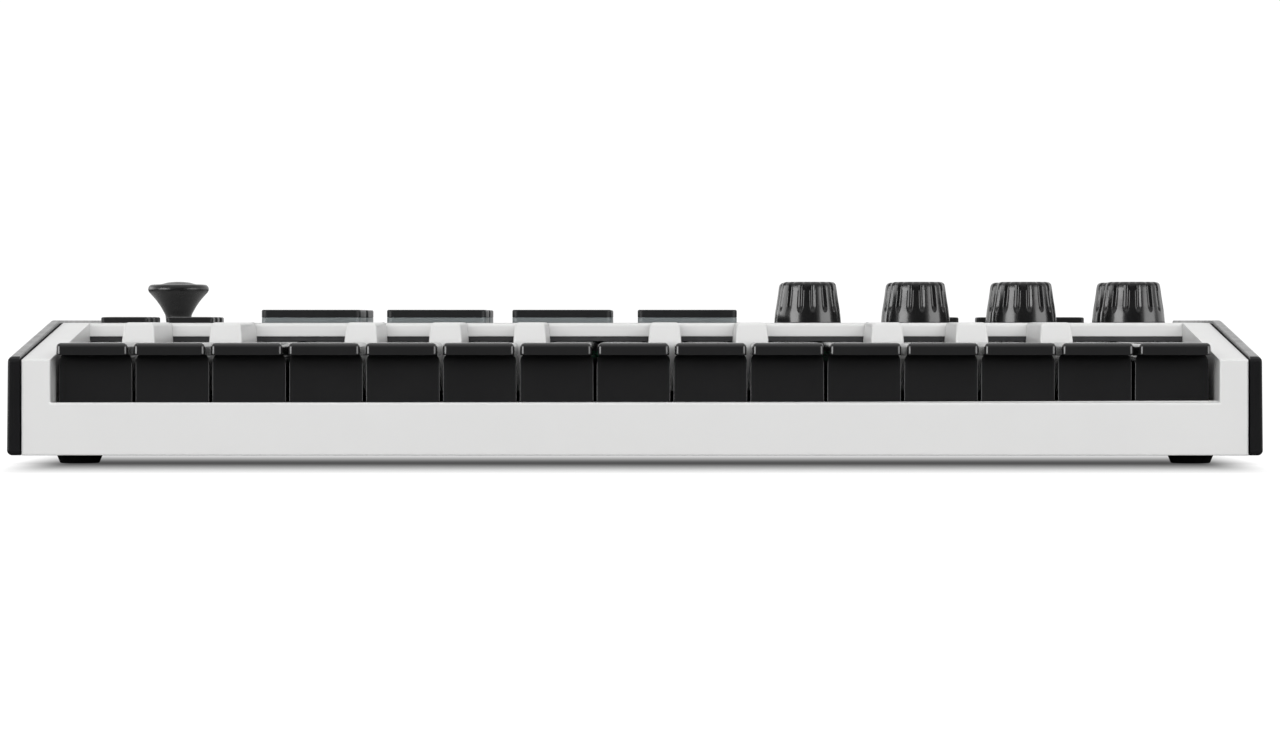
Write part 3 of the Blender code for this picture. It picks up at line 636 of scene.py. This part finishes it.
def build_pad(node):
    """A dark cap with rounded edges on a milky skirt with its flange and plunger."""
    x, y = middle_of(node)
    low, high = heights_of(node)
    steps = [(SKIRT_TOP, PAD_SIDE - 0.5, PAD_SIDE - 0.5, 1.4)]
    for z, inset in round_over(SKIRT_TOP + 0.05, high, EDGE_ROUND):
        side = PAD_SIDE - 2 * inset
        steps.append((z, side, side, PAD_CORNER - inset * 0.6))
    add_piece(node + "_cap", stepped(x, y, steps), [CAP_RUBBER], node)
    widths = [(low, PAD_PLUNGER), (FLANGE_BOTTOM, PAD_PLUNGER),
              (FLANGE_BOTTOM, PAD_FLANGE - 0.1), (FLANGE_BOTTOM + 0.1, PAD_FLANGE),
              (FLANGE_TOP - 0.1, PAD_FLANGE), (FLANGE_TOP, PAD_FLANGE - 0.1),
              (FLANGE_TOP, PAD_SIDE - 0.05), (SKIRT_TOP - 0.08, PAD_SIDE - 0.05),
              (SKIRT_TOP, PAD_SIDE - 0.3)]
    skirt = stepped(x, y, [(z, width, width, PAD_CORNER) for z, width in widths])
    add_piece(node + "_skirt", skirt, [SKIRT], node, [node])


def build_button(node):
    """A rubber button with rounded edges and a slightly crowned top, over its flange and plunger."""
    x, y = middle_of(node)
    low, high = heights_of(node)
    width, depth = BUTTON_SIZE
    steps = [(low, *BUTTON_PLUNGER, 1), (FLANGE_BOTTOM, *BUTTON_PLUNGER, 1),
             (FLANGE_BOTTOM, *BUTTON_FLANGE, 1), (FLANGE_TOP, *BUTTON_FLANGE, 1)]
    rim = high - BUTTON_CROWN
    for z, inset in round_over(FLANGE_TOP, rim, EDGE_ROUND):
        steps.append((z, width - 2 * inset, depth - 2 * inset, BUTTON_CORNER - inset * 0.6))
    for inset, share in ((1.2, 0.6), (2.2, 0.9), (3.2, 1.0)):
        steps.append((rim + BUTTON_CROWN * share, width - 2 * inset, depth - 2 * inset, 0.5))
    add_piece(node + "_cap", stepped(x, y, steps), [BUTTON_RUBBER], node, [node])


# ---------------------------------------------------------------- knobs and stick

def smooth_profile(points, steps=5):
    """Passes a smooth curve through (radius, height) points."""
    ends = [points[0]] + points + [points[-1]]
    curve = []
    for before, start, end, after in zip(ends, ends[1:], ends[2:], ends[3:]):
        for step in range(steps):
            t = step / steps
            curve.append(tuple(0.5 * (2 * p1 + (p2 - p0) * t + (2 * p0 - 5 * p1 + 4 * p2 - p3) * t * t
                                      + (3 * p1 - p0 - 3 * p2 + p3) * t ** 3)
                               for p0, p1, p2, p3 in zip(before, start, end, after)))
    curve.append(points[-1])
    return curve


def groove_depth(angle, radius, z):
    """Depth of the grip's grooves at a place: hollow in section, running out in a rounded tip."""
    pitch = 2 * math.pi / KNOB_FLUTES
    across = abs(angle % pitch - pitch / 2) * radius
    share = min(1.0, max(0.0, (z - GROOVE_TIP) / GROOVE_RUN_OUT))
    share *= 2 - share
    return GROOVE_DEPTH * max(0.0, share - (across / GROOVE_HALF) ** 2)


def grooved(x, y, radius, z):
    """A level ring around a knob's grip."""
    ring = []
    for step in range(KNOB_STEPS):
        angle = 2 * math.pi * step / KNOB_STEPS
        reach = radius - groove_depth(angle, radius, z)
        ring.append((x + reach * math.cos(angle), y + reach * math.sin(angle), z))
    return ring


def build_knob(node):
    """A tapering knob with a fluted grip, a rounded rim and a shallow dish on top."""
    x, y = middle_of(node)
    low, high = heights_of(node)
    bottom = [(KNOB_SHAFT, low), (KNOB_SHAFT, KNOB_BASE), (8.6, KNOB_BASE)]
    side = smooth_profile([(8.9, KNOB_BASE), (8.92, KNOB_BASE + 0.25), (8.84, 37.2), (8.7, 38.6),
                           (8.5, 39.9), (8.27, 41.3), (8.03, 42.8), (7.82, 44.3), (7.66, 45.5),
                           (7.52, 46.2)], 4)
    rim = [(7.4, 46.55), (7.15, 46.85), (6.8, 47.07), (6.4, 47.18), (6.1, high)]
    dish = [(5.7, high - 0.02), (5.3, high - 0.12), (5.0, high - 0.25), (3.0, high - 0.34),
            (0.6, high - 0.36)]
    rings = [circle(x, y, radius, z, KNOB_STEPS) for radius, z in bottom]
    rings += [grooved(x, y, radius, z) for radius, z in side + rim]
    rings += [circle(x, y, radius, z, KNOB_STEPS) for radius, z in dish]
    add_piece(node + "_grip", loft(rings), [KNOB_BLACK], node, [node], sharp=50.0)


def build_stick():
    """The thumbstick as a smooth turned shape: a ball, a stem, and a flared cap with a small dome."""
    node = "joystick_stick"
    x, y = middle_of(node)
    angles = [math.radians(-20 + 78 * step / 10) for step in range(11)]
    ball = [(BALL_RADIUS * math.cos(a), STICK_PIVOT + BALL_RADIUS * math.sin(a)) for a in angles]
    cap = smooth_profile([(3.55, 36.3), (3.62, 37.0), (3.78, 38.1), (4.3, 39.14), (5.09, 40.56),
                          (6.09, 42.0), (7.01, 43.13), (7.78, 43.98), (8.28, 44.55), (8.56, 45.1),
                          (8.6, 45.5), (8.5, 45.95), (8.2, 46.4), (7.7, 46.68), (6.8, 46.78), (5.6, 46.8),
                          (4.6, 46.92), (3.2, 47.3), (1.5, 47.49), (0.3, 47.53)])
    shape = loft([circle(x, y, radius, z, 96) for radius, z in ball + cap])
    add_piece("thumbstick", shape, [STICK_BLACK], node, [node], sharp=60.0)


# ---------------------------------------------------------------- inside and rear

def board_part(centre):
    """Material number of a face of the circuit board: laminate, window, metal or dark plastic."""
    laminate, window, metal_shell, plastic = range(4)
    across, along = (abs(centre[axis] - DISPLAY_PLACE[axis]) for axis in (0, 1))
    if centre.z > WINDOW_BOTTOM and across < DISPLAY_REACH[0] and along < DISPLAY_REACH[1]:
        return window
    if centre.z < BOARD_BOTTOM:
        return metal_shell
    if centre.z > BOARD_TOP:
        return plastic
    return laminate


def build_painted_shade_strip():
    """A dark strip under the panel's front wall, just above the keys: painted shade standing in for the
    shadowed gap there.
    """
    outline = [(-KEYBED_HALF, SHADE_STRIP_LOW), (KEYBED_HALF, SHADE_STRIP_LOW),
               (KEYBED_HALF, SHADE_STRIP_HIGH), (-KEYBED_HALF, SHADE_STRIP_HIGH)]
    rings = [[(x, y, z) for x, z in outline] for y in (PANEL_FRONT + 0.2, PANEL_FRONT + 1.4)]
    add_piece("painted_shade_strip", loft(rings), [SHADE_STRIP_DARK], "case")


def build_jack_nut():
    """The nut around the pedal jack, seen from behind; its profile is (radius, y)."""
    profile = [(3.3, 89.0), (4.85, 89.0), (4.85, 90.1), (4.7, 90.3), (3.5, 90.3), (3.3, 90.1)]
    rings = [[(px, y, pz) for px, pz, _ in circle(*JACK_PLACE, radius, 0, 48)] for radius, y in profile]
    add_piece("jack_nut", loft(rings, closed=True), [STEEL], "case")


def build_usb_tongue():
    """The tongue in the middle of the USB socket."""
    x, z = USB_PLACE
    rings = [[(px, y, pz) for px, pz, _ in rounded(x, z, width, height, 0.3, 0)]
             for y, width, height in ((74.6, 5.6, 3.2), (88.1, 5.6, 3.2), (88.4, 5.1, 2.7))]
    add_piece("usb_tongue", loft(rings), [DARK_PLASTIC], "case")


def build_inside():
    """The circuit board, the key chassis, the gimbal ring and the sockets."""
    board_materials = [BOARD_GREEN, WINDOW, STEEL, DARK_PLASTIC]
    refined("main_board", "circuit_board", board_materials, paint=board_part)
    refined("key_chassis", "chassis_frame", [GREY])
    refined("joystick_gimbal", "gimbal_ring", [GREY])
    refined("pedal_jack", "jack_body", [DARK_PLASTIC], lambda a, b: 0.15, segments=2)
    build_jack_nut()
    build_usb_tongue()


# ---------------------------------------------------------------- stage

def aim(thing, place, target):
    """Puts a camera or a lamp at a place, looking at a target (millimetres)."""
    start, end = Vector(place) * MM, Vector(target) * MM
    thing.location = start
    thing.rotation_mode = "QUATERNION"
    thing.rotation_quaternion = (end - start).to_track_quat("-Z", "Y")
    bpy.context.scene.collection.objects.link(thing)


def build_camera():
    """The photograph's camera: level with the keys, a little over a metre in front."""
    data = bpy.data.cameras.new("camera")
    data.lens = LENS
    data.sensor_width = SENSOR
    data.clip_end = 50
    camera = bpy.data.objects.new("camera", data)
    aim(camera, CAMERA_PLACE, CAMERA_TARGET)
    bpy.context.scene.camera = camera


def add_softbox(name, place, target, width, height, radiance, mirrored=False):
    """A large soft lamp of a given brightness; it may show in reflections, but never to the camera."""
    data = bpy.data.lights.new(name, "AREA")
    data.shape = "RECTANGLE"
    data.size = width * MM
    data.size_y = height * MM
    data.energy = radiance * math.pi * width * height * MM * MM
    lamp = bpy.data.objects.new(name, data)
    aim(lamp, place, target)
    lamp.visible_camera = False
    lamp.visible_glossy = mirrored


def add_card(name, corners, material):
    """A sheet of the stage; every four corners make one face."""
    mesh = bpy.data.meshes.new(name)
    faces = [range(start, start + 4) for start in range(0, len(corners), 4)]
    mesh.from_pydata([[value * MM for value in corner] for corner in corners], [], faces)
    mesh.materials.append(material)
    card = bpy.data.objects.new(name, mesh)
    bpy.context.scene.collection.objects.link(card)
    return card


def smooth_step(nodes, links, value, start, end):
    """Rises softly from 0 at start to 1 at end (millimetres)."""
    step = nodes.new("ShaderNodeMapRange")
    step.interpolation_type = "SMOOTHSTEP"
    step.inputs["From Min"].default_value = start * MM
    step.inputs["From Max"].default_value = end * MM
    links.new(value, step.inputs["Value"])
    return step.outputs["Result"]


def product(nodes, links, first, second):
    """Multiplies two values; the second may be a plain number."""
    times = nodes.new("ShaderNodeMath")
    times.operation = "MULTIPLY"
    links.new(first, times.inputs[0])
    if isinstance(second, float):
        times.inputs[1].default_value = second
    else:
        links.new(second, times.inputs[1])
    return times.outputs["Value"]


def shadow_band(nodes, links):
    """How dark the floor is: a soft band under the object's front edge."""
    coordinates = nodes.new("ShaderNodeTexCoord")
    split = nodes.new("ShaderNodeSeparateXYZ")
    links.new(coordinates.outputs["Object"], split.inputs["Vector"])
    depth, half = split.outputs["Y"], nodes.new("ShaderNodeMath")
    half.operation = "ABSOLUTE"
    links.new(split.outputs["X"], half.inputs[0])
    front = smooth_step(nodes, links, depth, SHADOW_MIDDLE - SHADOW_FRONT, SHADOW_MIDDLE)
    rear = smooth_step(nodes, links, depth, SHADOW_MIDDLE + SHADOW_REAR, SHADOW_MIDDLE)
    ends = smooth_step(nodes, links, half.outputs["Value"], SHADOW_HALF + SHADOW_FADE, SHADOW_HALF)
    along = product(nodes, links, front, rear)
    return product(nodes, links, product(nodes, links, along, ends), SHADOW_DARKNESS)


def build_floor():
    """A white sweep; to the camera it burns out to white, but for the soft shadow under the object."""
    material = bpy.data.materials.new("floor_white")
    material.use_nodes = True
    nodes, links = material.node_tree.nodes, material.node_tree.links
    shader = nodes["Principled BSDF"]
    path = nodes.new("ShaderNodeLightPath")
    darkness = product(nodes, links, path.outputs["Is Camera Ray"], shadow_band(nodes, links))
    for socket, level in (("Base Color", FLOOR_GREY), ("Emission Color", FLOOR_WHITE)):
        tone = nodes.new("ShaderNodeMix")
        tone.data_type = "RGBA"
        tone.inputs["A"].default_value = (level, level, level, 1)
        tone.inputs["B"].default_value = (0, 0, 0, 1)
        links.new(darkness, tone.inputs["Factor"])
        links.new(tone.outputs["Result"], shader.inputs[socket])
    shader.inputs["Roughness"].default_value = 0.9
    shader.inputs["Specular IOR Level"].default_value = 0.1
    links.new(path.outputs["Is Camera Ray"], shader.inputs["Emission Strength"])
    corners = [(sx * FLOOR_HALF, sy * FLOOR_HALF, 0) for sx, sy in ((-1, -1), (1, -1), (1, 1), (-1, 1))]
    add_card("floor", corners, material)


def add_reflection(name, corners, strength):
    """A card that shows only in reflections: black, or glowing at the given strength."""
    material = bpy.data.materials.new(name)
    material.use_nodes = True
    shader = material.node_tree.nodes["Principled BSDF"]
    shader.inputs["Base Color"].default_value = (0.005, 0.005, 0.005, 1)
    shader.inputs["Emission Color"].default_value = (1, 1, 1, 1)
    shader.inputs["Emission Strength"].default_value = strength
    card = add_card(name, corners, material)
    for kind in ("camera", "diffuse", "transmission", "shadow", "volume_scatter"):
        setattr(card, "visible_" + kind, False)


def build_cards():
    """A black flag in front, and bright strips to the left and right."""
    half, near_edge, far, high = 1250, -140, -2200, 1100
    flag = [(-half, near_edge, 1), (half, near_edge, 1), (half, far, 1), (-half, far, 1),
            (-half, far, 1), (half, far, 1), (half, far, high), (-half, far, high)]
    add_reflection("black_flag", flag, 0.0)
    for number, (side, first, last, strength) in enumerate(STRIPS):
        ends = [(side * STRIP_DISTANCE * math.sin(math.radians(turn)),
                 -STRIP_DISTANCE * math.cos(math.radians(turn))) for turn in (first, last)]
        corners = [(*ends[0], 0), (*ends[1], 0), (*ends[1], STRIP_TOP), (*ends[0], STRIP_TOP)]
        add_reflection(f"bright_strip_{number + 1}", corners, strength)


def build_world():
    """A white surround, brightest behind the object; to the camera it burns out to plain white."""
    world = bpy.data.worlds.new("surround")
    bpy.context.scene.world = world
    world.use_nodes = True
    nodes, links = world.node_tree.nodes, world.node_tree.links
    coordinates = nodes.new("ShaderNodeTexCoord")
    split = nodes.new("ShaderNodeSeparateXYZ")
    links.new(coordinates.outputs["Generated"], split.inputs["Vector"])
    towards_back = nodes.new("ShaderNodeMapRange")
    towards_back.inputs["From Min"].default_value = -0.5
    towards_back.inputs["From Max"].default_value = 0.5
    towards_back.inputs["To Min"].default_value = SURROUND_FRONT
    towards_back.inputs["To Max"].default_value = SURROUND_BACK
    links.new(split.outputs["Y"], towards_back.inputs["Value"])
    path = nodes.new("ShaderNodeLightPath")
    level = nodes.new("ShaderNodeMix")
    level.inputs["B"].default_value = SURROUND_SEEN
    links.new(path.outputs["Is Camera Ray"], level.inputs["Factor"])
    links.new(towards_back.outputs["Result"], level.inputs["A"])
    background = nodes["Background"]
    background.inputs["Color"].default_value = (1, 1, 1, 1)
    links.new(level.outputs["Result"], background.inputs["Strength"])


def build_stage():
    """Camera, surround, floor and lights."""
    build_camera()
    build_world()
    build_floor()
    build_cards()
    for name, place, width, height, radiance in SOFTBOXES:
        add_softbox(name, place, SOFTBOX_TARGET, width, height, radiance)
    add_softbox("top_softbox", (0, -300, 1800), (0, 0, 20), 1800, 700, 0.8, mirrored=True)
    bpy.context.scene.view_settings.view_transform = "Standard"
    bpy.context.scene.view_settings.look = "None"


# ---------------------------------------------------------------- assembly

build_stage()
build_case()
build_cheeks()
build_feet()
build_screws()
for node in sorted(NODES):
    if is_sharp(node):
        build_sharp(node)
    elif node.startswith("key_") and node != "key_chassis":
        build_natural(node)
    elif node.startswith("pad_"):
        build_pad(node)
    elif node.startswith("button_"):
        build_button(node)
    elif node.startswith("knob_"):
        build_knob(node)
build_stick()
build_painted_shade_strip()
build_inside()
